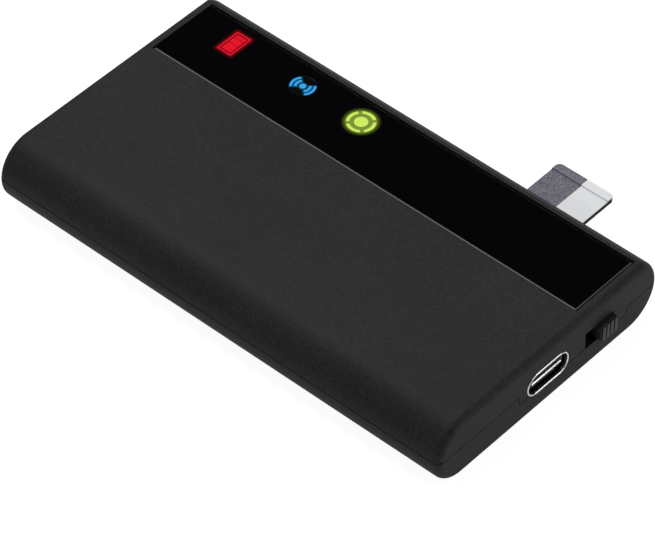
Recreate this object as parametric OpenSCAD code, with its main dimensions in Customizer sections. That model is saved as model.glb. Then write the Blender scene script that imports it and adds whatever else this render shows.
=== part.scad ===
// Portable aviation GPS receiver: a slim pocket box with a status window, a charging
// port, a power slide switch and a memory card slot. All sizes in millimetres.
// Frame: origin at the centre of the flat underside, +X towards the port end,
// +Y towards the card edge, +Z up.

/* [Housing] */
// Overall length, end face to end face
body_l = 88; // [84:1:100]
// Overall width across the two rounded long edges
body_w = 49.5; // [49:0.5:58]
// Overall height
body_h = 11.4; // [11:0.1:13]
// Radius of the upper half of the front long edge
front_r = 6.2; // [5.5:0.1:6.6]
// Radius of the rear long edge
rear_r = 6.1; // [5.8:0.1:6.6]
// Fillet around both end faces
end_r = 1.2; // [0.8:0.1:1.6]
// Side and bottom wall thickness
wall = 1.4; // [1.2:0.1:1.6]
// Top wall thickness
top_wall = 1.6; // [1.5:0.1:1.9]

/* [Parting line] */
// Height of the parting line
seam_z = 5.8; // [5.75:0.05:6.1]
// Height of the lowered parting line below the port and the switch
seam_low_z = 4.3; // [4.2:0.05:4.4]
// Distance of the front step of the parting line from the port centre
seam_step_front = 6.4; // [5.8:0.1:8]
// Distance of the rear step of the parting line from the switch slot centre
seam_step_rear = 6.3; // [4.5:0.1:7]
// Gap left along the parting line
seam_gap = 0.08; // [0.04:0.02:0.12]
// Thickness of the locating skirt inside the lower shell
skirt_t = 0.6; // [0.5:0.1:0.8]
// Height of the locating skirt above the parting line
skirt_h = 0.8; // [0.5:0.1:1.2]

/* [Window] */
// Margin between the window recess and each end face
window_margin = 1.75; // [1.7:0.05:4]
// Width of the window recess across the body
window_w = 13.5; // [12:0.1:14]
// Distance from the window recess to the rear of the body
window_back = 3.7; // [3.6:0.1:5]
// Thickness of the window lens
lens_t = 0.75; // [0.6:0.05:0.9]
// How far the lens sits below the housing top
lens_drop = 0.05; // [0:0.01:0.1]
// Chamfer around the top of the lens
lens_chamfer = 0.28; // [0.15:0.01:0.3]
// Gap around the lens
lens_gap = 0.1; // [0.05:0.01:0.2]
// Thickness of the lens adhesive
glue_t = 0.1; // [0.05:0.01:0.15]
// Height of the icon centres from the rear of the window recess
icon_back = 4.4; // [4.2:0.1:6]
// Distance from the left end face to the battery icon
battery_icon_x = 10.5; // [9.5:0.1:12]
// Distance between the battery icon and the radio icon
radio_icon_step = 14.3; // [11:0.1:15]
// Distance between the radio icon and the position icon
position_icon_step = 11.9; // [9:0.1:13]
// Line width of the icons
icon_line = 0.26; // [0.2:0.02:0.3]
// Width of the battery sign
battery_sign_w = 2.9; // [2.4:0.1:3.2]
// Length of the battery sign
battery_sign_l = 4.8; // [4:0.1:5]
// Radius of the radio sign
radio_sign_r = 2.1; // [1.8:0.05:2.3]
// Radius of the position sign
position_sign_r = 2.33; // [2:0.01:2.5]
// How far each sign stands above its pad
sign_relief = 0.06; // [0.03:0.01:0.1]
// Gap between the lit icons and the lens
inlay_gap = 0.02; // [0.01:0.01:0.04]

/* [Circuit board] */
// Board thickness
board_t = 1.0; // [0.8:0.1:1.2]
// Gap between the board edge and the housing wall
board_gap = 0.6; // [0.5:0.1:1.5]
// Case screw distance from the left end face
screw_left = 5; // [4.8:0.1:6]
// Case screw distance from the right end face
screw_right = 10; // [9.5:0.1:11]
// Half the distance between the screw rows
screw_y = 16; // [15:0.1:16.5]
// Screw shank radius
screw_r = 1.0; // [0.8:0.1:1.1]
// Screw head radius
screw_head_r = 1.9; // [1.6:0.1:2]
// Screw head height
screw_head_h = 1.35; // [1:0.05:1.4]
// Depth of the screw head pocket
screw_sink = 1.5; // [1.4:0.1:1.7]
// Clearance of screws in their holes
screw_gap = 0.03; // [0.02:0.01:0.1]

/* [Charging port] */
// Port centre, measured across the body
port_y = -0.45; // [-3:0.05:1]
// Port opening width
port_open_w = 8.34; // [8.3:0.01:8.4]
// Port opening height
port_open_h = 2.56; // [2.5:0.01:2.6]
// Outer width of the port shell
port_w = 8.94; // [8.9:0.01:9]
// Outer height of the port shell
port_h = 3.16; // [3.1:0.01:3.2]
// Length of the port shell
port_l = 7.35; // [6.8:0.05:8]
// Outer width of the front collar
collar_w = 9.4; // [9.2:0.05:9.6]
// Outer height of the front collar
collar_h = 4.3; // [3.6:0.05:4.4]
// Collar length
collar_l = 1.3; // [1:0.1:1.6]
// Gap between the collar and the housing
collar_gap = 0.1; // [0.05:0.01:0.2]
// Tongue width
tongue_w = 6.69; // [6.6:0.01:6.8]
// Tongue thickness
tongue_t = 0.7; // [0.65:0.01:0.75]

/* [Slide switch] */
// Centre of the switch slot, measured across the body
slot_y = 11.2; // [10.8:0.1:12.4]
// Length of the switch slot
slot_l = 6.4; // [6.2:0.1:7.4]
// Height of the switch slot
slot_h = 3.1; // [3:0.1:3.4]
// Knob length along the slot
knob_l = 3.6; // [3:0.1:3.8]
// Knob travel between off and on
knob_travel = 2.2; // [1.6:0.1:2.4]
// How far the knob face stands out of the end face
knob_out = 1.1; // [0.6:0.1:1.6]
// Gap above and below the knob in its slot
knob_gap = 0.15; // [0.08:0.01:0.2]

/* [Memory card] */
// Distance from the right end face to the card centre line
card_in = 21.6; // [21:0.1:24]
// Card width
card_w = 11; // [10.9:0.05:11.1]
// Card length
card_l = 15; // [14.9:0.05:15.1]
// Card thickness
card_t = 0.7; // [0.6:0.02:0.8]
// Thickness of the finger lip at the card's outer end
card_lip_t = 0.95; // [0.8:0.05:1]
// How far the card stands out past the rear edge as shown
card_out = 9.95; // [9:0.05:11]
// Side clearance between card and socket rails
card_gap = 0.2; // [0.1:0.01:0.3]
// How far the card travels from where it is shown to fully home
card_push = 9.5; // [8:0.1:9.6]
// Over-travel of the ejector
eject_travel = 0.9; // [0.5:0.1:1]

/* [Battery] */
// Battery length
battery_l = 28; // [20:1:28]
// Battery width
battery_w = 29; // [20:1:29]
// Battery thickness
battery_t = 4; // [3:0.1:4.6]

/* [Antenna] */
// Side length of the square ceramic antenna
patch_w = 18; // [12:1:18]
// Thickness of the ceramic antenna
patch_t = 4; // [2:0.5:4.5]

/* [Hidden] */
$fn = 96;
e = 0.01;
x_end = body_l / 2;
y_side = body_w / 2;
front_zc = body_h - front_r;
low_r = front_zc;
front_yc = front_r - y_side;
low_yc = low_r - y_side;
rear_yc = y_side - rear_r;
x_in = x_end - wall;
ceiling_z = body_h - top_wall;

win_x = x_end - window_margin;
win_y1 = y_side - window_back;
win_y0 = win_y1 - window_w;
lens_top = body_h - lens_drop;
lens_bot = lens_top - lens_t;
floor_z = lens_bot - glue_t;
icon_y = win_y1 - icon_back;
icon_x = [battery_icon_x - x_end,
          battery_icon_x - x_end + radio_icon_step,
          battery_icon_x - x_end + radio_icon_step + position_icon_step];
guide_rim = 0.7;
guide_w = [battery_sign_w + 2 * guide_rim, 2 * (radio_sign_r + guide_rim),
           2 * (position_sign_r + guide_rim)];
guide_l = [battery_sign_l + 2 * guide_rim, guide_w[1], guide_w[2]];
guide_gap = 0.05;
guide_bot = ceiling_z + 0.1;
tower_wall = 0.7;

port_z = body_h / 2;
board_top = port_z - port_h / 2 - 0.02;
board_bot = board_top - board_t;
part_z = board_top + 0.02;
board_x = x_in - board_gap;
board_y = y_side - wall - 1.95;

seam_y0 = port_y - seam_step_front;
seam_y1 = slot_y + seam_step_rear;
skirt_out = wall + 0.3;
skirt_in = skirt_out + skirt_t;

screws = [[screw_left - x_end, -screw_y], [screw_left - x_end, screw_y],
          [x_end - screw_right, -screw_y], [x_end - screw_right, screw_y]];
screw_tip = ceiling_z - 1.8;

slot_z0 = seam_low_z;
slot_z1 = seam_low_z + slot_h;
slot_zc = (slot_z0 + slot_z1) / 2;
knob_y = slot_y + slot_l / 2 - 0.2 - knob_l / 2;
knob_face = x_end + knob_out;
knob_h = slot_h - 2 * knob_gap;
sw_front = x_in - 0.5;
sw_back = sw_front - 3.2;
sw_l = slot_l + 2;
sw_top = part_z + 3.46;
stem_l = 2.4;
stem_h = 1.2;

card_x = x_end - card_in;
card_z = board_top + 0.53;
card_tail = y_side + card_out;
card_head = card_tail - card_l;
card_home = card_head - card_push;
socket_y1 = y_side - skirt_in - 0.15;
socket_y0 = card_home - 3.6;
rail_in = card_w / 2 + card_gap;
rail_out = rail_in + 1.1;
rail_top = card_z + card_t + 0.25;
eject_y1 = card_home - 0.1;
eject_y0 = eject_y1 - 0.95;
card_slot_z0 = card_z - 0.1;

batt_x0 = screw_left - x_end + 3.5;
batt_y0 = -y_side + 4.25;
batt_z0 = board_top + 0.33;
patch_x = batt_x0 + battery_l + 3 + patch_w / 2;
patch_y = batt_y0 + 3.5 + patch_w / 2;
patch_z = board_top + 0.1;
conn_x = batt_x0 + battery_l + 4;
conn_y = patch_y + patch_w / 2 + 3.6;

black = [0.16, 0.16, 0.165];
gloss = [0.02, 0.02, 0.025];
steel = [0.75, 0.76, 0.78];
gold = [0.85, 0.68, 0.3];
green = [0.1, 0.35, 0.18];
dark = [0.12, 0.12, 0.13];
white = [0.9, 0.9, 0.88];

// ---------- helpers ----------

// A box given by its low and high corners
module box(a, b) {
  translate(a) cube([b[0] - a[0], b[1] - a[1], b[2] - a[2]]);
}

// Extrude a Y-Z drawing along X from x0 to x1
module along_x(x0, x1) {
  translate([x0, 0, 0]) rotate([90, 0, 90]) linear_extrude(height = x1 - x0) children();
}

// Extrude an X-Z drawing along Y from y0 to y1
module along_y(y0, y1) {
  translate([0, y1, 0]) rotate([90, 0, 0]) linear_extrude(height = y1 - y0) children();
}

// Rounded rectangle between two corners
module rounded(a, b, r) {
  translate([a[0] + r, a[1]]) square([b[0] - a[0] - 2 * r, b[1] - a[1]]);
  translate([a[0], a[1] + r]) square([b[0] - a[0], b[1] - a[1] - 2 * r]);
  for (x = [a[0] + r, b[0] - r])
    for (y = [a[1] + r, b[1] - r])
      translate([x, y]) circle(r = r);
}

// Pill drawing, w wide and h high
module pill(w, h) {
  square([w - h, h], center = true);
  for (s = [-1, 1]) translate([s * (w - h) / 2, 0]) circle(d = h);
}

// Rod along X with filleted ends
module rod(r, yc, zc) {
  translate([0, yc, zc]) rotate([0, 90, 0]) rotate_extrude()
    intersection() {
      rounded([-r, -x_end], [r, x_end], end_r);
      translate([0, -x_end]) square([r + 1, body_l]);
    }
}

// Side view of the body, seen across its length
module side_2d() {
  rounded([-x_end, 0], [x_end, body_h], end_r);
}

// Outer shape of the whole housing
module outer_body() {
  big = body_l;
  union() {
    intersection() {
      rod(front_r, front_yc, front_zc);
      box([-big, -big, front_zc], [big, front_yc, big]);
    }
    intersection() {
      rod(low_r, low_yc, front_zc);
      box([-big, -big, -big], [big, low_yc, front_zc]);
    }
    intersection() {
      along_y(low_yc, front_yc) side_2d();
      box([-big, -big, -big], [big, big, front_zc]);
    }
    along_y(front_yc, rear_yc) side_2d();
    intersection() {
      rod(rear_r, rear_yc, rear_r);
      along_y(rear_yc, y_side + 1) side_2d();
    }
  }
}

// Cross-section of the hollow inside
module inner_2d() {
  intersection() {
    union() {
      intersection() {
        translate([front_yc, front_zc]) circle(r = front_r - wall);
        translate([-body_w, front_zc]) square([2 * body_w, body_h]);
      }
      intersection() {
        translate([low_yc, front_zc]) circle(r = low_r - wall);
        translate([-body_w, -body_h]) square([2 * body_w, body_h + front_zc]);
      }
      translate([front_yc, wall]) square([rear_yc - front_yc, body_h]);
      translate([low_yc, wall]) square([front_yc - low_yc, front_zc - wall]);
      translate([rear_yc, rear_r]) circle(r = rear_r - wall);
    }
    translate([-body_w, wall]) square([2 * body_w, ceiling_z - wall]);
  }
}

module cavity() {
  along_x(-x_in, x_in) inner_2d();
}

// Everything below the parting line, lowered by cut along its top
module below_seam(cut) {
  difference() {
    box([-body_l, -body_w, -1], [body_l, body_w, seam_z - cut]);
    box([x_in - 0.3, seam_y0 - cut, seam_low_z - cut], [body_l, seam_y1 + cut, body_h]);
  }
}

// Ring drawn in plan between two insets from the body's sides
module plan_ring(inset_out, inset_in) {
  difference() {
    rounded([inset_out - x_end, inset_out - y_side],
            [x_end - inset_out, y_side - inset_out], 1.2);
    rounded([inset_in - x_end, inset_in - y_side],
            [x_end - inset_in, y_side - inset_in], 0.8);
  }
}

// Hole through the right end wall for the port collar
module port_hole() {
  along_x(x_in - 1, x_end + 1)
    translate([port_y, port_z]) pill(collar_w + 2 * collar_gap, collar_h + 2 * collar_gap);
}

// ---------- housing ----------

module upper_shell() {
  color(black) difference() {
    union() {
      difference() {
        intersection() {
          outer_body();
          union() {
            box([-body_l, -body_w, seam_z], [body_l, body_w, body_h + 1]);
            box([x_in + e, seam_y0, seam_low_z], [body_l, seam_y1, body_h]);
          }
        }
        cavity();
      }
      for (p = screws)
        translate([p[0], p[1], part_z])
          cylinder(r = screw_r + 1.1, h = ceiling_z + 0.3 - part_z);
    }
    // window recess and the openings for the three light guides
    box([-win_x, win_y0, floor_z], [win_x, win_y1, body_h + 1]);
    for (i = [0 : 2])
      box([icon_x[i] - guide_w[i] / 2 - guide_gap, icon_y - guide_l[i] / 2 - guide_gap,
           ceiling_z - 1],
          [icon_x[i] + guide_w[i] / 2 + guide_gap, icon_y + guide_l[i] / 2 + guide_gap,
           floor_z + 1]);
    for (p = screws)
      translate([p[0], p[1], part_z - 1])
        cylinder(r = screw_r + screw_gap, h = screw_tip + 0.6 - part_z + 1);
    port_hole();
    // switch slot
    box([x_in - 1, slot_y - slot_l / 2, slot_z0 - 1],
        [x_end + 1, slot_y + slot_l / 2, slot_z1]);
  }
}

module lower_shell() {
  color(black) difference() {
    union() {
      difference() {
        intersection() {
          outer_body();
          below_seam(seam_gap);
        }
        cavity();
      }
      // locating skirt behind the upper shell's wall
      difference() {
        union() {
          translate([0, 0, seam_z - 1.5]) linear_extrude(height = 1.4)
            plan_ring(wall - 0.3, skirt_in);
          translate([0, 0, seam_z - 0.2]) linear_extrude(height = skirt_h + 0.2)
            plan_ring(skirt_out, skirt_in);
        }
        box([x_in - 2, seam_y0 - 1.2, 0], [body_l, seam_y1 + 1.2, body_h]);
      }
      for (p = screws)
        translate([p[0], p[1], wall / 2])
          cylinder(r = screw_head_r + 1.0, h = board_bot - wall / 2);
    }
    for (p = screws) {
      translate([p[0], p[1], -1]) cylinder(r = screw_head_r + 0.15, h = screw_sink + 1);
      translate([p[0], p[1], 0]) cylinder(r = screw_r + 0.15, h = board_bot + 1);
    }
    port_hole();
    // card slot, open at the parting line
    box([card_x - card_w / 2 - 0.3, y_side - 4.5, card_slot_z0],
        [card_x + card_w / 2 + 0.3, y_side + 1, body_h]);
  }
}

module case_screws() {
  color(steel) for (p = screws)
    translate([p[0], p[1], 0]) difference() {
      union() {
        translate([0, 0, screw_sink - screw_head_h])
          cylinder(r = screw_head_r, h = screw_head_h);
        translate([0, 0, screw_sink - e]) cylinder(r = screw_r, h = screw_tip - screw_sink);
      }
      for (a = [0, 90]) rotate([0, 0, a])
        translate([-1.1, -0.2, -1]) cube([2.2, 0.4, 1.8]);
    }
}

// ---------- window and icons ----------

// Battery sign, long along Y: an outline round a block split into three charge bars
module battery_2d() {
  w = battery_sign_w;
  l = battery_sign_l;
  fill_l = l - 4 * icon_line;
  difference() {
    rounded([-w / 2, -l / 2], [w / 2, l / 2], 0.2);
    square([w - 2 * icon_line, l - 2 * icon_line], center = true);
  }
  difference() {
    square([w - 4 * icon_line, fill_l], center = true);
    for (k = [-0.04, 0.3])
      translate([0, k * fill_l]) square([w, 0.14], center = true);
  }
}

// Radio sign: a dot with two pairs of arcs
module radio_2d() {
  circle(r = 0.52);
  for (r = [radio_sign_r * 0.55, radio_sign_r - icon_line * 0.8])
    difference() {
      circle(r = r + icon_line * 0.8);
      circle(r = r - icon_line * 0.8);
      for (s = [0, 1])
        mirror([0, s]) polygon([[0, 0], [4, 3.4], [4, 5], [-4, 5], [-4, 3.4]]);
    }
}

// Position sign: a dot inside a ring broken by four gaps
module position_2d() {
  circle(r = position_sign_r * 0.47);
  difference() {
    circle(r = position_sign_r);
    circle(r = position_sign_r - 2 * icon_line);
    for (a = [45, 135])
      rotate(a) square([6, 0.62], center = true);
  }
}

module icon_2d(i) {
  if (i == 0) battery_2d();
  if (i == 1) radio_2d();
  if (i == 2) position_2d();
}

// Outline of the pad that carries each sign, grown by g
module icon_pad_2d(i, g) {
  w = battery_sign_w / 2 + g;
  l = battery_sign_l / 2 + g;
  if (i == 0) rounded([-w, -l], [w, l], 0.2 + g);
  if (i == 1) circle(r = radio_sign_r + g);
  if (i == 2) circle(r = position_sign_r + g);
}

// A light guide: a plate below the lens, a pad through it, and the sign on the pad
module light_guide(i) {
  translate([icon_x[i], icon_y, 0]) {
    box([-guide_w[i] / 2, -guide_l[i] / 2, guide_bot],
        [guide_w[i] / 2, guide_l[i] / 2, lens_bot - 0.02]);
    translate([0, 0, lens_bot - 0.1])
      linear_extrude(height = lens_top - sign_relief - lens_bot + 0.1) icon_pad_2d(i, 0);
    translate([0, 0, lens_bot]) linear_extrude(height = lens_t) icon_2d(i);
  }
}

module battery_icon() { color([0.93, 0.13, 0.19]) light_guide(0); }
module radio_icon() { color([0.24, 0.66, 0.94]) light_guide(1); }
module position_icon() { color([0.8, 0.94, 0.38]) light_guide(2); }

module window_lens() {
  x = win_x - lens_gap;
  y0 = win_y0 + lens_gap;
  y1 = win_y1 - lens_gap;
  c = lens_chamfer * sqrt(2);
  color(gloss) difference() {
    box([-x, y0, lens_bot], [x, y1, lens_top]);
    for (y = [y0, y1])
      translate([0, y, lens_top]) rotate([45, 0, 0])
        cube([3 * x, c, c], center = true);
    for (s = [-1, 1])
      translate([s * x, (y0 + y1) / 2, lens_top]) rotate([0, 45, 0])
        cube([c, 2 * window_w, c], center = true);
    for (i = [0 : 2])
      translate([icon_x[i], icon_y, lens_bot - 1]) linear_extrude(height = lens_t + 2)
        icon_pad_2d(i, inlay_gap);
  }
}

module window_adhesive() {
  color([0.3, 0.3, 0.3]) difference() {
    box([0.4 - win_x, win_y0 + 0.4, floor_z], [win_x - 0.4, win_y1 - 0.4, lens_bot]);
    for (i = [0 : 2])
      box([icon_x[i] - guide_w[i] / 2 - 0.2, icon_y - guide_l[i] / 2 - 0.2, floor_z - 1],
          [icon_x[i] + guide_w[i] / 2 + 0.2, icon_y + guide_l[i] / 2 + 0.2, lens_top]);
  }
}

// Opaque block with one light well below each icon
module light_block() {
  top = ceiling_z - 0.05;
  color(white) difference() {
    union() {
      for (i = [0 : 2])
        box([icon_x[i] - guide_w[i] / 2 - tower_wall, icon_y - guide_l[i] / 2 - tower_wall,
             part_z],
            [icon_x[i] + guide_w[i] / 2 + tower_wall, icon_y + guide_l[i] / 2 + tower_wall,
             top]);
      box([icon_x[0], icon_y - 1.5, top - 1.2], [icon_x[2], icon_y + 1.5, top]);
    }
    for (i = [0 : 2])
      box([icon_x[i] - guide_w[i] / 2 + 0.1, icon_y - guide_l[i] / 2 + 0.1, part_z - 1],
          [icon_x[i] + guide_w[i] / 2 - 0.1, icon_y + guide_l[i] / 2 - 0.1, top + 1]);
  }
}

module led(i) {
  translate([icon_x[i], icon_y, part_z]) {
    box([-0.8, -0.4, 0], [0.8, 0.4, 0.3]);
    box([-0.5, -0.4, 0.29], [0.5, 0.4, 0.65]);
  }
}

module battery_led() { color([0.95, 0.6, 0.6]) led(0); }
module radio_led() { color([0.6, 0.75, 0.95]) led(1); }
module position_led() { color([0.75, 0.95, 0.6]) led(2); }

// ---------- circuit board ----------

module main_board() {
  color(green) difference() {
    translate([0, 0, board_bot]) linear_extrude(height = board_t)
      rounded([-board_x, -board_y], [board_x, board_y], 2);
    for (p = screws)
      translate([p[0], p[1], 0]) cylinder(r = screw_r + 0.15, h = body_h);
    translate([patch_x, patch_y, 0]) cylinder(r = 0.5, h = body_h);
    for (x = port_leg_x)
      for (s = [-1, 1])
        box([x - 0.6, port_y + s * 4.33 - 0.3, 0], [x + 0.6, port_y + s * 4.33 + 0.3, body_h]);
  }
}

module antenna_ceramic() {
  color([0.86, 0.83, 0.76]) difference() {
    translate([0, 0, patch_z]) linear_extrude(height = patch_t)
      rounded([patch_x - patch_w / 2, patch_y - patch_w / 2],
              [patch_x + patch_w / 2, patch_y + patch_w / 2], 0.4);
    translate([patch_x, patch_y, 0]) cylinder(r = 0.5, h = body_h);
  }
}

module antenna_plate() {
  w = patch_w - 3;
  color([0.8, 0.8, 0.8]) difference() {
    box([patch_x - w / 2, patch_y - w / 2, patch_z + patch_t],
        [patch_x + w / 2, patch_y + w / 2, patch_z + patch_t + 0.05]);
    translate([patch_x, patch_y, 0]) cylinder(r = 0.5, h = body_h);
    for (s = [-1, 1])
      translate([patch_x + s * w / 2, patch_y + s * w / 2, patch_z + patch_t])
        rotate([0, 0, 45]) cube([2, 2, 1], center = true);
  }
}

module antenna_pin() {
  color(steel) translate([patch_x, patch_y, 0]) {
    translate([0, 0, board_bot - 0.3]) cylinder(r = 0.45, h = patch_z + patch_t - board_bot + 0.36);
    translate([0, 0, patch_z + patch_t + 0.05]) cylinder(r = 0.95, h = 0.25);
  }
}

shield_x = patch_x + patch_w / 2 + 8.5;
shield_y = -y_side + 11.5;

module receiver_shield() {
  w = 12;
  l = 12;
  h = 2.2;
  color(steel) difference() {
    box([shield_x - w / 2, shield_y - l / 2, part_z], [shield_x + w / 2, shield_y + l / 2, part_z + h]);
    box([shield_x - w / 2 + 0.2, shield_y - l / 2 + 0.2, part_z - 1],
        [shield_x + w / 2 - 0.2, shield_y + l / 2 - 0.2, part_z + h - 0.2]);
    for (x = [-3.6 : 2.4 : 3.6])
      for (y = [-3.6 : 2.4 : 3.6])
        translate([shield_x + x, shield_y + y, part_z]) cylinder(r = 0.4, h = 5);
  }
}

module chip(x, y, w, l, h) {
  box([x - w / 2, y - l / 2, part_z], [x + w / 2, y + l / 2, part_z + h]);
}

module receiver_chip() { color(dark) chip(shield_x - 1.6, shield_y, 6, 7, 0.9); }
module radio_chip() { color(dark) chip(shield_x + 3.8, shield_y, 3, 5, 0.8); }
module processor_chip() { color(dark) chip(card_x - 14, icon_y - 6.6, 7, 7, 0.9); }
module storage_chip() { color(dark) chip(card_x - 14, icon_y + 1.4, 6, 5, 0.8); }
module charger_chip() { color(dark) chip(x_end - 13.5, port_y - 2.2, 3, 3, 0.8); }

module radio_antenna() {
  color([0.75, 0.8, 0.85]) chip(board_x - 2, -y_side + 12.5, 1.6, 6.5, 1.2);
}

// Capacitors and resistors, in short rows beside the chips
module small_parts() {
  color([0.7, 0.6, 0.45]) {
    for (i = [0 : 5]) chip(card_x - 16.8 + i * 1.1, icon_y - 11.3, 0.5, 1.0, 0.5);
    for (i = [0 : 4]) chip(shield_x - 3 + i * 1.5, shield_y + 7.2, 0.5, 1.0, 0.5);
    for (i = [0 : 3]) chip(x_end - 13.5 + i * 1.1 - 1.6, port_y + 0.9, 0.5, 1.0, 0.5);
    for (i = [0 : 2]) chip(icon_x[i] + 0, icon_y - guide_l[i] / 2 - 1.4, 1.0, 0.5, 0.4);
  }
}

// ---------- battery ----------

module battery_cell() {
  z1 = batt_z0 + battery_t;
  color([0.7, 0.71, 0.73]) {
    along_x(batt_x0, batt_x0 + battery_l - 1.2)
      rounded([batt_y0, batt_z0], [batt_y0 + battery_w, z1], 1);
    box([batt_x0 + battery_l - 1.21, batt_y0 + 1, batt_z0 + 0.3],
        [batt_x0 + battery_l, batt_y0 + battery_w - 1, batt_z0 + 1.5]);
  }
}

module battery_pad() {
  color([0.15, 0.15, 0.15])
    box([batt_x0 + 2, batt_y0 + 2, board_top], [batt_x0 + battery_l - 2, batt_y0 + battery_w - 2, batt_z0]);
}

module battery_socket() {
  color(white) difference() {
    box([conn_x - 1.8, conn_y - 2.2, part_z], [conn_x + 1.8, conn_y + 2.2, part_z + 2.6]);
    for (s = [-1, 1])
      box([conn_x - 3, conn_y + s * 0.8 - 0.45, part_z + 0.7],
          [conn_x + 1.2, conn_y + s * 0.8 + 0.45, part_z + 1.7]);
  }
}

module lead(y) {
  x0 = batt_x0 + battery_l;
  z0 = batt_z0 + 0.9;
  z1 = part_z + 1.2;
  xm = x0 + 0.9;
  translate([x0, y, z0]) rotate([0, 90, 0]) cylinder(r = 0.35, h = xm - x0);
  translate([xm, y, z0]) sphere(r = 0.35);
  translate([xm, y, min(z0, z1)]) cylinder(r = 0.35, h = abs(z1 - z0));
  translate([xm, y, z1]) sphere(r = 0.35);
  translate([xm, y, z1]) rotate([0, 90, 0]) cylinder(r = 0.35, h = conn_x + 1 - xm);
}

module battery_lead_red() { color([0.8, 0.1, 0.1]) lead(conn_y + 0.8); }
module battery_lead_black() { color(dark) lead(conn_y - 0.8); }

// ---------- charging port ----------

port_leg_x = [x_end - 6, x_end - 3.1];

module port_shell() {
  color(steel) difference() {
    union() {
      along_x(x_end - port_l, x_end) translate([port_y, port_z]) pill(port_w, port_h);
      along_x(x_end - collar_l, x_end + 0.05)
        translate([port_y, port_z]) pill(collar_w, collar_h);
      for (x = port_leg_x)
        for (s = [-1, 1])
          box([x - 0.4, port_y + s * 4.33 - 0.13, board_bot - 0.2],
              [x + 0.4, port_y + s * 4.33 + 0.13, port_z]);
    }
    along_x(x_end - port_l + 0.3, x_end + 1)
      translate([port_y, port_z]) pill(port_open_w, port_open_h);
    // lead-in at the mouth
    along_x(x_end - 0.45, x_end + 1)
      translate([port_y, port_z]) pill(collar_w - 0.66, collar_h - 0.7);
  }
}

tongue_x1 = x_end - 0.6;

module port_tongue() {
  color([0.12, 0.12, 0.12]) {
    along_x(x_end - port_l + 0.32, x_end - 5.4)
      translate([port_y, port_z]) pill(port_open_w - 0.06, port_open_h - 0.06);
    box([x_end - 5.5, port_y - tongue_w / 2, port_z - tongue_t / 2],
        [tongue_x1, port_y + tongue_w / 2, port_z + tongue_t / 2]);
  }
}

module port_contacts() {
  color(gold) for (i = [-5.5 : 1 : 5.5])
    for (s = [-1, 1])
      box([x_end - 5.0, port_y + i * 0.5 - 0.13, port_z + s * (tongue_t / 2 + 0.02) - 0.02],
          [tongue_x1 - 0.3, port_y + i * 0.5 + 0.13, port_z + s * (tongue_t / 2 + 0.02) + 0.02]);
}

// ---------- slide switch ----------

module switch_frame() {
  color(steel) difference() {
    box([sw_back, slot_y - sw_l / 2, part_z], [sw_front, slot_y + sw_l / 2, sw_top]);
    box([sw_back - 1, slot_y - sw_l / 2 + 0.2, part_z - 1],
        [sw_front - 0.2, slot_y + sw_l / 2 - 0.2, sw_top - 0.2]);
    box([sw_front - 1, knob_y - knob_travel - stem_l / 2 - 0.2, slot_zc - stem_h / 2 - 0.15],
        [sw_front + 1, knob_y + stem_l / 2 + 0.2, slot_zc + stem_h / 2 + 0.15]);
  }
}

module switch_base() {
  color([0.75, 0.7, 0.55])
    box([sw_back + 0.1, slot_y - sw_l / 2 + 0.22, part_z],
        [sw_back + 1.1, slot_y + sw_l / 2 - 0.22, sw_top - 0.22]);
}

module switch_terminals() {
  color(gold) for (i = [-1 : 1])
    box([sw_back - 0.7, slot_y + i * 2 - 0.25, part_z], [sw_back + 0.1, slot_y + i * 2 + 0.25, part_z + 0.2]);
}

module switch_actuator() {
  color(dark) {
    box([sw_back + 1.2, knob_y - 1.7, part_z + 0.3], [sw_front - 0.3, knob_y + 1.7, sw_top - 0.35]);
    box([sw_front - 0.4, knob_y - stem_l / 2, slot_zc - stem_h / 2],
        [knob_face - 0.5, knob_y + stem_l / 2, slot_zc + stem_h / 2]);
  }
}

module switch_wiper() {
  color(gold)
    box([sw_back + 1.13, knob_y - 1.3, slot_zc - 0.4], [sw_back + 1.2, knob_y + 1.3, slot_zc + 0.4]);
}

module switch_knob() {
  color(dark) difference() {
    union() {
      box([x_in + 0.15, knob_y - knob_l / 2, slot_z0 + knob_gap],
          [knob_face - 0.22, knob_y + knob_l / 2, slot_z0 + knob_gap + knob_h]);
      for (i = [-1.5 : 1 : 1.5])
        box([knob_face - 0.3, knob_y + i * knob_l / 4 - 0.24, slot_z0 + knob_gap],
            [knob_face, knob_y + i * knob_l / 4 + 0.24, slot_z0 + knob_gap + knob_h]);
    }
    box([sw_front - 1, knob_y - stem_l / 2, slot_zc - stem_h / 2],
        [knob_face - 0.5, knob_y + stem_l / 2, slot_zc + stem_h / 2]);
  }
}

// ---------- memory card socket ----------

module card_socket_base() {
  color([0.1, 0.1, 0.1]) difference() {
    box([card_x - rail_out, socket_y0, part_z], [card_x + rail_out, socket_y1, rail_top]);
    box([card_x - rail_in, socket_y0 + 0.5, card_z - 0.15],
        [card_x + rail_in, socket_y1 + 1, rail_top + 1]);
  }
}

module card_socket_cover() {
  color(steel) difference() {
    box([card_x - rail_out - 0.2, socket_y0 + 1.5, part_z],
        [card_x + rail_out + 0.2, socket_y1, rail_top + 0.2]);
    box([card_x - rail_out, socket_y0, part_z - 1], [card_x + rail_out, socket_y1 + 1, rail_top]);
    box([card_x - 3.8, socket_y0 + 4.5, rail_top - 1], [card_x - 1.2, socket_y0 + 11, rail_top + 1]);
    box([card_x + 1.2, socket_y0 + 4.5, rail_top - 1], [card_x + 3.8, socket_y0 + 11, rail_top + 1]);
  }
}

module card_socket_contacts() {
  color(gold) for (i = [-3.5 : 1 : 3.5])
    box([card_x + i * 1.1 - 0.3, card_home + 0.6, card_z - 0.15],
        [card_x + i * 1.1 + 0.3, card_home + 6, card_z - 0.03]);
}

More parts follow.
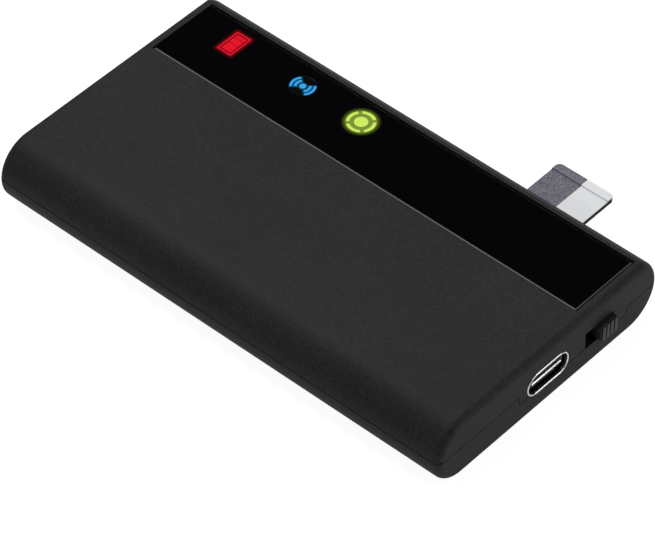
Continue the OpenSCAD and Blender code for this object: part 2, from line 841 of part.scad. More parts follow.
module eject_slider() {
  color([0.2, 0.2, 0.2])
    box([card_x - rail_in + 0.3, eject_y0, card_z - 0.05],
        [card_x - rail_in + 4.6, eject_y1, card_z + card_t + 0.05]);
}

// Folded leaf spring, drawn in plan as one zigzag strip
module eject_spring() {
  n = 4;
  w = 2.6;
  t = 0.16;
  x0 = card_x - rail_in + 0.9;
  y0 = socket_y0 + 0.5;
  step = (eject_y0 - y0 - t) / n;
  near = [for (i = [0 : n]) [x0 + (i % 2) * w, y0 + i * step]];
  far = [for (i = [n : -1 : 0]) [x0 + (i % 2) * w, y0 + i * step + t]];
  color(steel) translate([0, 0, card_z]) linear_extrude(height = 0.5)
    polygon(concat(near, far));
}

// ---------- memory card ----------

// Plan outline of the card, narrower at its contact end
module card_2d(grow) {
  w = card_w / 2 + grow;
  step_y = card_tail - 7.4;
  difference() {
    rounded([card_x - w, card_head - grow], [card_x + w, card_tail + grow], 0.8);
    polygon([[card_x - w - 1, card_head - 1], [card_x - w + 1.2, card_head - 1],
             [card_x - w + 1.2, step_y - 1.9], [card_x - w, step_y],
             [card_x - w - 1, step_y]]);
  }
}

module card_body() {
  color(dark) difference() {
    union() {
      translate([0, 0, card_z]) linear_extrude(height = card_t) card_2d(0);
      intersection() {
        translate([0, 0, card_z]) linear_extrude(height = card_lip_t) card_2d(0);
        box([card_x - card_w, card_tail - 1.5, 0], [card_x + card_w, card_tail + 1, body_h]);
      }
    }
    box([card_x - card_w, card_head, card_z + card_t - 0.04],
        [card_x + card_w, card_tail - 1.7, card_z + card_lip_t]);
    card_pads(0);
  }
}

module card_label() {
  color([0.45, 0.44, 0.5]) difference() {
    translate([0, 0, card_z + card_t - 0.04]) linear_extrude(height = 0.04) card_2d(-0.15);
    box([card_x - card_w, card_tail - 1.75, 0], [card_x + card_w, card_tail + 1, body_h]);
  }
}

module card_pads(low) {
  for (i = [-3.5 : 1 : 3.5])
    box([card_x + i * 1.1 - 0.4 + 0.35, card_head + 0.7, card_z - 0.1 + low],
        [card_x + i * 1.1 + 0.4 + 0.35, card_head + 3.6, card_z + 0.05]);
}

module card_contacts() { color(gold) card_pads(0.1); }

// ---------- pick what to draw ----------

upper_shell();
lower_shell();
window_lens();
window_adhesive();
battery_icon();
radio_icon();
position_icon();
light_block();
battery_led();
radio_led();
position_led();
main_board();
antenna_ceramic();
antenna_plate();
antenna_pin();
receiver_shield();
receiver_chip();
radio_chip();
processor_chip();
storage_chip();
charger_chip();
radio_antenna();
small_parts();
battery_cell();
battery_pad();
battery_socket();
battery_lead_red();
battery_lead_black();
port_shell();
port_tongue();
port_contacts();
switch_frame();
switch_base();
switch_terminals();
switch_actuator();
switch_wiper();
switch_knob();
card_socket_base();
card_socket_cover();
card_socket_contacts();
eject_slider();
eject_spring();
card_body();
card_label();
card_contacts();
case_screws();
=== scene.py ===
import math

import bmesh
import bpy
from mathutils import Matrix, Vector


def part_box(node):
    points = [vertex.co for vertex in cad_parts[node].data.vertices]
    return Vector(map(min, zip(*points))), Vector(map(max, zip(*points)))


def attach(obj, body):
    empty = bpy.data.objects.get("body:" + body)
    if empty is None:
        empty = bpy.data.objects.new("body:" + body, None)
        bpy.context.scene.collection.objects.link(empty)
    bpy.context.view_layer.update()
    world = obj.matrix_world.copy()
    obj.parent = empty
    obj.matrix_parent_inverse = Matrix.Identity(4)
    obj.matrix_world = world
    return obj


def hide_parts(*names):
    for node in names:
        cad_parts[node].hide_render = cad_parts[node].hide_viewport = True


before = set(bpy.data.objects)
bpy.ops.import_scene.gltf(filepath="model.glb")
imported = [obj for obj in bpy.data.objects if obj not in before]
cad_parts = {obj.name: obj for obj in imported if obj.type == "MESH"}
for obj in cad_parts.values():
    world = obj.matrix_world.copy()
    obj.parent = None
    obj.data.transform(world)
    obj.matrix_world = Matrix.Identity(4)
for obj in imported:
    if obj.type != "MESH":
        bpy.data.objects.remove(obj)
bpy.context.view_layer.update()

# ---------------------------------------------------------------------------
# White table, studio lights and camera
# The unit lies on a plain white table that shows as clean paper white, with only a faint shadow.
# A soft panel hangs overhead, a strip at the front left picks out the window's edge, and three fills lift the rest.
# ---------------------------------------------------------------------------
mm = 0.001
scene = bpy.context.scene
scene.view_settings.view_transform = "Standard"


def put(tree, kind, inputs=None, **settings):
    """Adds a shader node. An input given as a socket is linked, any other value is set on the input itself."""
    made = tree.nodes.new("ShaderNode" + kind)
    for key, value in settings.items():
        setattr(made, key, value)
    for key, value in (inputs or {}).items():
        if isinstance(value, bpy.types.NodeSocket):
            tree.links.new(value, made.inputs[key])
        else:
            made.inputs[key].default_value = value
    return made


def input_of(shader, key):
    """The shader's input for a keyword such as base_color: underscores stand for the spaces in its name."""
    return shader.inputs[key.replace("_", " ").title().replace("Ior", "IOR")]


def fresh_finish(name, **values):
    """A new Principled material with some inputs set. Returns it with its tree, its shader and its place socket."""
    made = bpy.data.materials.new(name)
    made.use_nodes = True
    shader = made.node_tree.nodes["Principled BSDF"]
    for key, value in values.items():
        input_of(shader, key).default_value = value
    place = put(made.node_tree, "TexCoord").outputs["Object"]
    return made, made.node_tree, shader, place


table_radius, table_gap = 2.5, 0.03 * mm
table_mesh = bpy.data.meshes.new("table")
bm = bmesh.new()
bmesh.ops.create_circle(bm, cap_ends=True, segments=64, radius=table_radius)
bmesh.ops.translate(bm, verts=bm.verts, vec=(0, 0, -table_gap))
bm.to_mesh(table_mesh)
bm.free()
table = bpy.data.objects.new("table", table_mesh)
scene.collection.objects.link(table)
white, tree, shader, _ = fresh_finish("table_white", base_color=(0.3, 0.3, 0.3, 1), roughness=0.7,
                                      emission_color=(1, 1, 1, 1), emission_strength=0.93, specular_ior_level=0.1)
below = put(tree, "NewGeometry").outputs["Backfacing"]
clear = put(tree, "BsdfTransparent").outputs[0]
matt = put(tree, "AddShader", {0: put(tree, "BsdfDiffuse", {"Color": (0.40, 0.40, 0.40, 1)}).outputs[0],
                               1: put(tree, "Emission", {"Strength": 0.45}).outputs[0]}).outputs[0]
looked_at = put(tree, "LightPath").outputs["Is Camera Ray"]
upper = put(tree, "MixShader", {0: looked_at, 1: matt, 2: shader.outputs[0]}).outputs[0]
tree.links.new(put(tree, "MixShader", {0: below, 1: upper, 2: clear}).outputs[0],
               tree.nodes["Material Output"].inputs["Surface"])
table_mesh.materials.append(white)


def panel(name, direction, distance, size, power):
    """A soft area lamp that hangs in the given direction and faces the unit."""
    lamp = bpy.data.lights.new(name, "AREA")
    lamp.shape = "RECTANGLE"
    lamp.size, lamp.size_y = size
    lamp.energy = power
    holder = bpy.data.objects.new(name, lamp)
    scene.collection.objects.link(holder)
    towards = Vector(direction).normalized()
    facing = towards.to_track_quat("Z", "Y").to_matrix().to_4x4()
    holder.matrix_world = Matrix.Translation(towards * distance) @ facing


panel("overhead_panel", (-0.42, 0.12, 0.90), 1.1, (0.70, 0.70), 7.5)
panel("front_strip", (-0.42, -0.74, 0.525), 1.0, (0.62, 0.14), 1.25)
panel("right_panel", (0.93, 0.22, 0.10), 1.1, (0.6, 0.34), 2.4)
panel("upper_fill", (0.60, 0.50, 0.60), 1.1, (0.55, 0.55), 2.4)
panel("back_strip", (-0.45, 0.86, 0.27), 1.1, (0.5, 0.16), 1.15)

world = bpy.data.worlds.new("studio")
scene.world = world
world.use_nodes = True
sky = world.node_tree
room = sky.nodes["Background"]
room.inputs["Color"].default_value = (0.026, 0.027, 0.030, 1)
beyond = put(sky, "Background", {"Color": (0.86, 0.87, 0.88, 1), "Strength": 1.0})
seen = put(sky, "LightPath").outputs["Is Camera Ray"]
sky.links.new(put(sky, "MixShader", {0: seen, 1: room.outputs[0], 2: beyond.outputs[0]}).outputs[0],
              sky.nodes["World Output"].inputs["Surface"])

turn, tilt = math.radians(41.84), math.radians(45.65)
away = Vector((math.sin(turn) * math.cos(tilt), -math.cos(turn) * math.cos(tilt), math.sin(tilt)))
across = Vector((math.cos(turn), math.sin(turn), 0.0))
upward = away.cross(across)
camera = bpy.data.objects.new("camera", bpy.data.cameras.new("camera"))
camera.data.lens = 228.65
camera.data.sensor_width = 36.0
camera_distance, aim_right, aim_up = 625.8, 0.57, -2.91
camera.matrix_world = (Matrix.Translation((camera_distance * away + aim_right * across + aim_up * upward) * mm)
                       @ Matrix((across, upward, away)).transposed().to_4x4())
scene.collection.objects.link(camera)
scene.camera = camera

# ---------------------------------------------------------------------------
# Housing: upper and lower shell
# Two injection-moulded shells of glass-filled plastic under matt black soft-touch paint, screwed together from below.
# The mould leaves a fine spark grain, and the paint rounds every edge a little.
# ---------------------------------------------------------------------------
housing_edge = 0.07 * mm


def eased(tree, value, start, end, low=0.0, high=1.0):
    """A value carried over from the range start..end to low..high, and held at those two beyond it."""
    return put(tree, "MapRange", {"Value": value, "From Min": start, "From Max": end, "To Min": low,
                                  "To Max": high}).outputs[0]


def maths(tree, operation, *values):
    """One step of arithmetic on up to three sockets or plain values."""
    return put(tree, "Math", dict(enumerate(values)), operation=operation).outputs[0]


def noise(tree, place, scale, detail=2.0, roughness=0.5, distortion=0.0):
    """Cloudy noise between 0 and 1."""
    return put(tree, "TexNoise", {"Vector": place, "Scale": scale, "Detail": detail, "Roughness": roughness,
                                  "Distortion": distortion}).outputs["Fac"]


def relief(tree, height, strength, depth):
    """A bumped normal from a height."""
    return put(tree, "Bump", {"Height": height, "Strength": strength, "Distance": depth}).outputs["Normal"]


def feed(shader, **sockets):
    """Links sockets to the shader's inputs, named as in input_of."""
    for key, socket in sockets.items():
        shader.id_data.links.new(socket, input_of(shader, key))


def moulded_grain():
    """Grain of a moulded or painted surface: a fine height, an even finer fleck and a slow change of tone."""
    group = bpy.data.node_groups.new("moulded_grain", "ShaderNodeTree")
    side = group.interface
    side.new_socket("Place", in_out="INPUT", socket_type="NodeSocketVector")
    for name in ("Grain", "Patches"):
        side.new_socket(name, in_out="INPUT", socket_type="NodeSocketFloat")
    for name in ("Height", "Tone", "Fleck"):
        side.new_socket(name, in_out="OUTPUT", socket_type="NodeSocketFloat")
    inlet, outlet = group.nodes.new("NodeGroupInput"), group.nodes.new("NodeGroupOutput")
    place, grain, patches = (inlet.outputs[name] for name in ("Place", "Grain", "Patches"))
    fine = noise(group, place, grain, 3.0, 0.65)
    drift = eased(group, noise(group, place, patches, 5.0, 0.6), 0.2, 0.8, 0.41, 0.59)
    pits = put(group, "TexVoronoi", {"Vector": place, "Scale": grain}, feature="F1").outputs["Distance"]
    group.links.new(fine, outlet.inputs["Height"])
    group.links.new(maths(group, "MULTIPLY", maths(group, "MULTIPLY", fine, drift), 2.0), outlet.inputs["Tone"])
    group.links.new(eased(group, pits, 0.28, 0.12), outlet.inputs["Fleck"])
    return group


grain_group = moulded_grain()


def grain_at(tree, place, grain, patches):
    """The shared grain, with its two scales set. Returns its outputs."""
    return put(tree, "Group", {"Place": place, "Grain": grain, "Patches": patches}, node_tree=grain_group).outputs


def grained(name, dark, light, grain, patches, rough, bump, **values):
    """A moulded plastic: its colour, its roughness and a fine bump all follow the grain between two values."""
    made, tree, shader, place = fresh_finish(name, **values)
    surface = grain_at(tree, place, grain, patches)
    colour = put(tree, "ValToRGB", {"Fac": surface["Tone"]})
    for element, position, tone in zip(colour.color_ramp.elements, (0.32, 0.68), (dark, light)):
        element.position = position
        element.color = (*tone, 1)
    feed(shader, base_color=colour.outputs["Color"], roughness=eased(tree, surface["Tone"], 0.2, 0.8, *rough),
         normal=relief(tree, surface["Height"], bump, 0.02 * mm))
    return made


soft_touch = grained("soft_touch_black", (0.0008, 0.0008, 0.0009), (0.0205, 0.0205, 0.0209), 2500.0, 60.0,
                     (0.56, 0.68), 0.55, ior=1.46, specular_ior_level=0.30)
weld = 0.001 * mm


def edged_copy(node, name, width, finish, segments=2):
    """A merged copy of a CAD node's mesh with its flat parts joined up and a fine round on every sharp edge."""
    bm = bmesh.new()
    bm.from_mesh(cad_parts[node].data)
    bmesh.ops.remove_doubles(bm, verts=bm.verts, dist=weld)
    bmesh.ops.dissolve_limit(bm, angle_limit=math.radians(0.2), verts=bm.verts, edges=bm.edges)
    for face in bm.faces:
        face.smooth = True
    for edge in bm.edges:
        edge.smooth = len(edge.link_faces) == 2 and edge.calc_face_angle(0.0) < math.radians(28.0)
    mesh = bpy.data.meshes.new(name)
    bm.to_mesh(mesh)
    bm.free()
    if "custom_normal" in mesh.attributes:
        mesh.attributes.remove(mesh.attributes["custom_normal"])
    mesh.materials.clear()
    mesh.materials.append(finish)
    piece = bpy.data.objects.new(name, mesh)
    scene.collection.objects.link(piece)
    rounding = piece.modifiers.new("fine_round", "BEVEL")
    rounding.width = width
    rounding.segments = segments
    rounding.limit_method = "ANGLE"
    rounding.angle_limit = math.radians(34.0)
    rounding.profile = 0.5
    rounding.material = -1
    rounding.use_clamp_overlap = False
    rounding.harden_normals = True
    return piece


for node in ("upper_shell", "lower_shell"):
    shell = edged_copy(node, node + "_moulding", housing_edge, soft_touch)
    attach(shell, "housing")
    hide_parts(node)

# ---------------------------------------------------------------------------
# Window lens and its tape
# A strip of smoked acrylic, polished on top and cut with a bright 45 degree chamfer, sits a hair below the shell.
# Double-sided foam tape holds it. Light from the three signs spreads a little way through the smoked sheet.
# ---------------------------------------------------------------------------
lens_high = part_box("window_lens")[1]
unlit = (0, 0, 0, 1)
signs = {
    "battery_icon": {"half": (1.40, 2.35), "radius": 0.0, "glow": (0.19, 0.001, 0.005), "reach": 0.85},
    "radio_icon": {"half": (0.0, 0.0), "radius": 1.75, "glow": (0.0004, 0.020, 0.060), "reach": 0.60},
    "position_icon": {"half": (0.0, 0.0), "radius": 2.3, "glow": (0.15, 0.23, 0.018), "reach": 0.95},
}


def mixed(tree, factor, first, second, how="MIX"):
    """Two colours mixed. Each of the three values may be a socket or a plain value."""
    return put(tree, "Mix", {0: factor, 6: first, 7: second}, data_type="RGBA", blend_type=how).outputs[2]


def vector_maths(tree, operation, *values):
    """One step of arithmetic on vectors. Returns a vector, or a plain value for the length."""
    made = put(tree, "VectorMath", dict(enumerate(values)), operation=operation)
    return made.outputs["Value" if operation == "LENGTH" else "Vector"]


def sign_glow():
    """Light spreading from a lit sign: 1 within its outline, fading to 0 at the reach."""
    group = bpy.data.node_groups.new("sign_glow", "ShaderNodeTree")
    side = group.interface
    for name, kind in (("Place", "Vector"), ("Centre", "Vector"), ("Half Size", "Vector"), ("Radius", "Float"),
                       ("Reach", "Float")):
        side.new_socket(name, in_out="INPUT", socket_type="NodeSocket" + kind)
    side.new_socket("Glow", in_out="OUTPUT", socket_type="NodeSocketFloat")
    inlet, outlet = group.nodes.new("NodeGroupInput"), group.nodes.new("NodeGroupOutput")
    given = inlet.outputs
    apart = vector_maths(group, "SUBTRACT", given["Place"], given["Centre"])
    mirrored = vector_maths(group, "ABSOLUTE", vector_maths(group, "MULTIPLY", apart, (1, 1, 0)))
    outside = vector_maths(group, "SUBTRACT", mirrored, given["Half Size"])
    far = vector_maths(group, "LENGTH", vector_maths(group, "MAXIMUM", outside, (0, 0, 0)))
    fade = eased(group, maths(group, "SUBTRACT", far, given["Radius"]), 0.0, given["Reach"], 1.0, 0.0)
    group.links.new(maths(group, "POWER", fade, 2.2), outlet.inputs["Glow"])
    return group


glow_group = sign_glow()


def glow_of(tree, place, node):
    """The glow of one sign, in its own colour."""
    about = signs[node]
    low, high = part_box(node)
    half_x, half_y = about["half"]
    glow = put(tree, "Group", {"Place": place, "Centre": (low + high) / 2, "Half Size": (half_x * mm, half_y * mm, 0),
                               "Radius": about["radius"] * mm, "Reach": about["reach"] * mm}, node_tree=glow_group)
    return mixed(tree, glow.outputs["Glow"], unlit, (*about["glow"], 1))


smoked, tree, shader, place = fresh_finish("smoked_acrylic", base_color=(0.0012, 0.0012, 0.0018, 1), ior=1.49,
                                           specular_ior_level=0.3, emission_strength=1.0)
lit = mixed(tree, 1.0, glow_of(tree, place, "battery_icon"), glow_of(tree, place, "radio_icon"), "ADD")
lit = mixed(tree, 1.0, lit, glow_of(tree, place, "position_icon"), "ADD")
smears = noise(tree, place, 140.0, 6.0, 0.7, 0.8)
feed(shader, emission_color=lit, roughness=eased(tree, smears, 0.45, 0.75, 0.035, 0.09))
lens = edged_copy("window_lens", "window_sheet", 0.03 * mm, smoked)
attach(lens, "housing")
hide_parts("window_lens")


def dress(node, finish):
    """Gives a CAD node that keeps its own shape a new material."""
    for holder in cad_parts[node].material_slots:
        holder.material = finish


foam, tree, shader, place = fresh_finish("black_foam_tape", roughness=0.95)
cells = put(tree, "TexVoronoi", {"Vector": place, "Scale": 4200.0}, feature="DISTANCE_TO_EDGE").outputs["Distance"]
skin = eased(tree, cells, 0.0, 0.3)
feed(shader, base_color=mixed(tree, skin, (0.05, 0.05, 0.052, 1), (0.012, 0.012, 0.013, 1)),
     normal=relief(tree, cells, 0.6, 0.05 * mm))
dress("window_adhesive", foam)
dress("battery_pad", foam)

# ---------------------------------------------------------------------------
# Three lit signs, their light block and lamps
# Each sign is a moulded clear guide: a plate under the lens, a pad through it, and the raised sign on the pad.
# A white block keeps the light of the three board lamps apart. The raised sign is bright and the pad round it dim.
# ---------------------------------------------------------------------------
sign_step = lens_high.z - 0.03 * mm
tinned = (0.70, 0.69, 0.66, 1)


def axis(tree, vector, letter):
    """One of a vector's three parts."""
    return put(tree, "SeparateXYZ", {0: vector}).outputs[letter]


def from_middle(tree, place, node):
    """Where a point stands from the middle of a node's box, and how far that is in plan."""
    low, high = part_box(node)
    apart = vector_maths(tree, "SUBTRACT", place, (low + high) / 2)
    return apart, vector_maths(tree, "LENGTH", vector_maths(tree, "MULTIPLY", apart, (1, 1, 0)))


def lit_sign(name, node, bright, edge, dim, rings=()):
    """Bright where the sign stands up, a little deeper in colour towards its rim, and dim on the pad.

    With rings given, the pad is lit only close to the middle dot and to those radii, in the two sectors along X."""
    made, tree, shader, place = fresh_finish(name, base_color=(0.003, 0.003, 0.003, 1), roughness=0.09,
                                             specular_ior_level=0.3, emission_strength=1.0)
    apart, spread = from_middle(tree, place, node)
    stands_up = maths(tree, "GREATER_THAN", axis(tree, place, "Z"), sign_step)
    uneven = eased(tree, noise(tree, place, 3000.0), 0.3, 0.7, 0.0, 0.12)
    face = mixed(tree, eased(tree, spread, 0.6 * mm, 2.8 * mm), (*bright, 1), (*edge, 1))
    face = mixed(tree, uneven, face, unlit)
    pad = (*dim, 1)
    if rings:
        dot_radius, half_ring, fade_width = 0.52 * mm, 0.17 * mm, 0.42 * mm
        aside = vector_maths(tree, "ABSOLUTE", apart)
        lean = maths(tree, "MULTIPLY_ADD", axis(tree, aside, "X"), -0.9, axis(tree, aside, "Y"))
        near = maths(tree, "SUBTRACT", spread, dot_radius)
        for radius in rings:
            gap = maths(tree, "ABSOLUTE", maths(tree, "SUBTRACT", spread, radius * mm))
            gap = maths(tree, "MAXIMUM", maths(tree, "SUBTRACT", gap, half_ring), lean)
            near = maths(tree, "MINIMUM", near, gap)
        fade = maths(tree, "POWER", eased(tree, near, 0.0, fade_width, 1.0, 0.0), 1.8)
        pad = mixed(tree, fade, unlit, pad)
    feed(shader, emission_color=mixed(tree, stands_up, pad, face))
    return made


dress("battery_icon", lit_sign("sign_red", "battery_icon", (0.86, 0.006, 0.022), (0.74, 0.004, 0.018),
                               (0.16, 0.001, 0.006)))
dress("radio_icon", lit_sign("sign_blue", "radio_icon", (0.045, 0.40, 0.86), (0.035, 0.36, 0.82),
                             (0.003, 0.10, 0.24), (1.155, 1.89)))
dress("position_icon", lit_sign("sign_green", "position_icon", (0.66, 0.90, 0.13), (0.62, 0.88, 0.115),
                                (0.20, 0.28, 0.04)))

dress("light_block", grained("white_light_block", (0.62, 0.61, 0.58), (0.74, 0.73, 0.70), 4200.0, 160.0,
                             (0.45, 0.6), 0.25))
cap_long = 0.22 * mm


def board_lamp(name, node, tint):
    """A board lamp: cream case, a round cup in the lamp's own colour, and silvered ends."""
    made, tree, shader, place = fresh_finish(name, emission_strength=0.4)
    low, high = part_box(node)
    apart, spread = from_middle(tree, place, node)
    cup = eased(tree, spread, 0.24 * mm, 0.32 * mm, 1.0, 0.0)
    out = maths(tree, "ABSOLUTE", axis(tree, apart, "X"))
    cap = maths(tree, "GREATER_THAN", out, (high.x - low.x) / 2 - cap_long)
    cream = noise(tree, place, 5000.0)
    body = mixed(tree, cream, (0.72, 0.71, 0.68, 1), (0.86, 0.85, 0.82, 1))
    body = mixed(tree, cup, body, (*tint, 1))
    feed(shader, base_color=mixed(tree, cap, body, tinned), metallic=cap,
         emission_color=mixed(tree, cup, unlit, (*tint, 1)), roughness=eased(tree, cream, 0.0, 1.0, 0.2, 0.45))
    return made


dress("battery_led", board_lamp("lamp_red", "battery_led", (0.80, 0.10, 0.06)))
dress("radio_led", board_lamp("lamp_blue", "radio_led", (0.10, 0.35, 0.85)))
dress("position_led", board_lamp("lamp_green", "position_led", (0.45, 0.80, 0.12)))

# ---------------------------------------------------------------------------
# Circuit board
# A 1 mm glass-epoxy board under green solder mask, with tinned pads and vias, drilled at the four screws.
# The mask is glossy and stands a little proud over the copper tracks.
# ---------------------------------------------------------------------------
board_low, board_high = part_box("main_board")
mask, tree, shader, place = fresh_finish("green_solder_mask", ior=1.5)
blocks = put(tree, "TexVoronoi", {"Vector": place, "Scale": 170.0}, distance="CHEBYCHEV", feature="F1")
pick = put(tree, "SeparateColor", {0: blocks.outputs["Color"]}).outputs[0]
runs = [put(tree, "TexWave", {"Vector": place, "Scale": 480.0, "Distortion": 0.0}, bands_direction=way).outputs["Fac"]
        for way in ("X", "Y")]
stripes = put(tree, "Mix", {0: maths(tree, "GREATER_THAN", pick, 0.5), 2: runs[0], 3: runs[1]}, data_type="FLOAT")
tracks = eased(tree, stripes.outputs[0], 0.62, 0.74)
vias = put(tree, "TexVoronoi", {"Vector": place, "Scale": 420.0}, feature="F1").outputs["Distance"]
pad = eased(tree, vias, 0.17, 0.14)
height = axis(tree, place, "Z")
above_middle = maths(tree, "SUBTRACT", height, (board_low.z + board_high.z) / 2)
above_foot = eased(tree, above_middle, -0.46 * mm, -0.45 * mm)
below_top = eased(tree, height, board_high.z - 0.04 * mm, board_high.z - 0.05 * mm)
on_rim = maths(tree, "MULTIPLY", above_foot, below_top)
weave = put(tree, "TexBrick", {"Vector": place, "Color1": (0.42, 0.40, 0.22, 1), "Color2": (0.34, 0.33, 0.18, 1),
                               "Mortar": (0.5, 0.48, 0.3, 1), "Scale": 2500.0})
paint = mixed(tree, tracks, (0.006, 0.072, 0.024, 1), (0.014, 0.14, 0.045, 1))
paint = mixed(tree, pad, paint, (0.66, 0.64, 0.58, 1))
bare = maths(tree, "MULTIPLY", pad, maths(tree, "SUBTRACT", 1.0, on_rim))
feed(shader, base_color=mixed(tree, on_rim, paint, weave.outputs["Color"]), metallic=bare,
     roughness=eased(tree, on_rim, 0.0, 1.0, 0.28, 0.8), normal=relief(tree, tracks, 0.5, 0.03 * mm))
dress("main_board", mask)

# ---------------------------------------------------------------------------
# Receiver: ceramic antenna, shield can and chips
# A tan ceramic tile with a fired silver plate takes the satellite signal down its pin to the chip in the tin can.
# The chips are black moulded epoxy with a dot at pin one, soldered flat to the board.
# ---------------------------------------------------------------------------
tile = grained("tan_ceramic", (0.40, 0.31, 0.21), (0.56, 0.46, 0.33), 3800.0, 300.0, (0.35, 0.55), 0.4)
dress("antenna_ceramic", tile)


def worn_metal(name, dark, light, rough, along, fine=900.0, bump=0.15):
    """Metal with fine lines along one direction, slow stains and uneven polish."""
    made, tree, shader, place = fresh_finish(name, metallic=1.0)
    stretched = put(tree, "Mapping", {"Vector": place, "Scale": along}).outputs[0]
    lines = noise(tree, stretched, fine, 5.0, 0.7)
    stains = noise(tree, place, 260.0, 4.0, 0.6)
    share = eased(tree, maths(tree, "ADD", lines, stains), 0.7, 1.3)
    feed(shader, base_color=mixed(tree, share, (*dark, 1), (*light, 1)),
         roughness=eased(tree, share, 0.0, 1.0, rough[1], rough[0]), normal=relief(tree, lines, bump, 0.01 * mm))
    return made


silver = worn_metal("fired_silver", (0.62, 0.60, 0.56), (0.86, 0.85, 0.82), (0.3, 0.5), (1, 1, 1), 2400.0, 0.3)
dress("antenna_plate", silver)
dress("antenna_pin", silver)
tin = worn_metal("tinned_steel", (0.50, 0.50, 0.49), (0.72, 0.72, 0.71), (0.22, 0.42), (1, 14, 14), 500.0)
dress("receiver_shield", tin)


def moulded_chip(node, lead_pitch):
    """Black epoxy with a dimple at pin one and bright lead ends along the foot of its sides."""
    low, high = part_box(node)
    made, tree, shader, place = fresh_finish("epoxy_" + node, ior=1.5)
    surface = grain_at(tree, place, 7000.0, 500.0)
    pin_one = (low.x + 0.6 * mm, high.y - 0.6 * mm, high.z)
    apart = vector_maths(tree, "LENGTH", vector_maths(tree, "SUBTRACT", place, pin_one))
    dot = eased(tree, apart, 0.22 * mm, 0.19 * mm)
    ends = put(tree, "TexWave", {"Vector": place, "Scale": 1000.0 * lead_pitch}, bands_direction="DIAGONAL")
    teeth = maths(tree, "GREATER_THAN", ends.outputs["Fac"], 0.5)
    foot = maths(tree, "LESS_THAN", axis(tree, place, "Z"), low.z + 0.22 * mm)
    lead = maths(tree, "MULTIPLY", teeth, foot)
    body = mixed(tree, surface["Tone"], (0.012, 0.012, 0.013, 1), (0.028, 0.028, 0.03, 1))
    body = mixed(tree, surface["Fleck"], body, (0.05, 0.05, 0.052, 1))
    body = mixed(tree, dot, body, (0.09, 0.09, 0.09, 1))
    height = maths(tree, "SUBTRACT", surface["Height"], dot)
    feed(shader, base_color=mixed(tree, lead, body, tinned), metallic=lead,
         roughness=eased(tree, surface["Tone"], 0.0, 1.0, 0.45, 0.7), normal=relief(tree, height, 0.5, 0.02 * mm))
    dress(node, made)


for chip, pitch in (("receiver_chip", 1.0), ("radio_chip", 1.2), ("processor_chip", 1.0), ("storage_chip", 0.5),
                    ("charger_chip", 1.1)):
    moulded_chip(chip, pitch)

aerial_low, aerial_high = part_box("radio_antenna")
aerial, tree, shader, place = fresh_finish("blue_chip_aerial", ior=1.55)
spot = noise(tree, place, 3500.0, 3.0)
off = maths(tree, "SUBTRACT", axis(tree, place, "Y"), (aerial_low.y + aerial_high.y) / 2)
half_body = (aerial_high.y - aerial_low.y) / 2 - 0.7 * mm
end = maths(tree, "GREATER_THAN", maths(tree, "ABSOLUTE", off), half_body)
blue = mixed(tree, spot, (0.05, 0.12, 0.30, 1), (0.09, 0.19, 0.42, 1))
feed(shader, base_color=mixed(tree, end, blue, (0.72, 0.71, 0.68, 1)), metallic=end,
     roughness=eased(tree, spot, 0.0, 1.0, 0.25, 0.5))
dress("radio_antenna", aerial)

# ---------------------------------------------------------------------------
# Small surface-mounted parts
# Rows of capacitors and resistors about 1 mm long: a fired ceramic body between two tinned end caps.
# Each one is soldered across two pads, so the caps reach the board.
# ---------------------------------------------------------------------------
source = bmesh.new()
source.from_mesh(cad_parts["small_parts"].data)
bmesh.ops.remove_doubles(source, verts=source.verts, dist=weld)
left = set(source.verts)
part_boxes = []
for seed in source.verts:
    if seed not in left:
        continue
    left.discard(seed)
    reach, found = [seed], [seed]
    while reach:
        for edge in reach.pop().link_edges:
            for vert in edge.verts:
                if vert in left:
                    left.discard(vert)
                    reach.append(vert)
                    found.append(vert)
    part_boxes.append((Vector([min(v.co[k] for v in found) for k in range(3)]),
                       Vector([max(v.co[k] for v in found) for k in range(3)])))
source.free()


def edges_of(verts):
    """Every edge at the given vertices, once each and always in the same order."""
    return list(dict.fromkeys(edge for vert in verts for edge in vert.link_edges))


def block(bm, low, high, round_by, index=0, segments=2):
    """A cube stretched between two corners, with every edge rounded."""
    made = bmesh.ops.create_cube(bm, size=1.0)["verts"]
    bmesh.ops.scale(bm, verts=made, vec=high - low)
    bmesh.ops.translate(bm, verts=made, vec=(low + high) / 2)
    faces = {face for vert in made for face in vert.link_faces}
    rounded = bmesh.ops.bevel(bm, geom=edges_of(made), offset=round_by, offset_type="OFFSET", affect="EDGES",
                              segments=segments, profile=0.5, material=-1, clamp_overlap=True)
    for face in {face for face in faces if face.is_valid} | set(rounded["faces"]):
        face.material_index = index
        face.smooth = True


def piece_from(bm, name, finishes, body, nodes, sharp=30.0):
    """Finishes a bmesh as a piece: outward normals, materials, the body it rides on and the nodes it stands for."""
    bmesh.ops.remove_doubles(bm, verts=bm.verts, dist=0.0005 * mm)
    bmesh.ops.recalc_face_normals(bm, faces=bm.faces)
    for edge in bm.edges:
        edge.smooth = len(edge.link_faces) == 2 and edge.calc_face_angle(0.0) < math.radians(sharp)
    for face in bm.faces:
        face.smooth = True
    mesh = bpy.data.meshes.new(name)
    bm.to_mesh(mesh)
    bm.free()
    for finish in finishes:
        mesh.materials.append(finish)
    piece = bpy.data.objects.new(name, mesh)
    scene.collection.objects.link(piece)
    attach(piece, body)
    if nodes:
        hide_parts(*nodes)


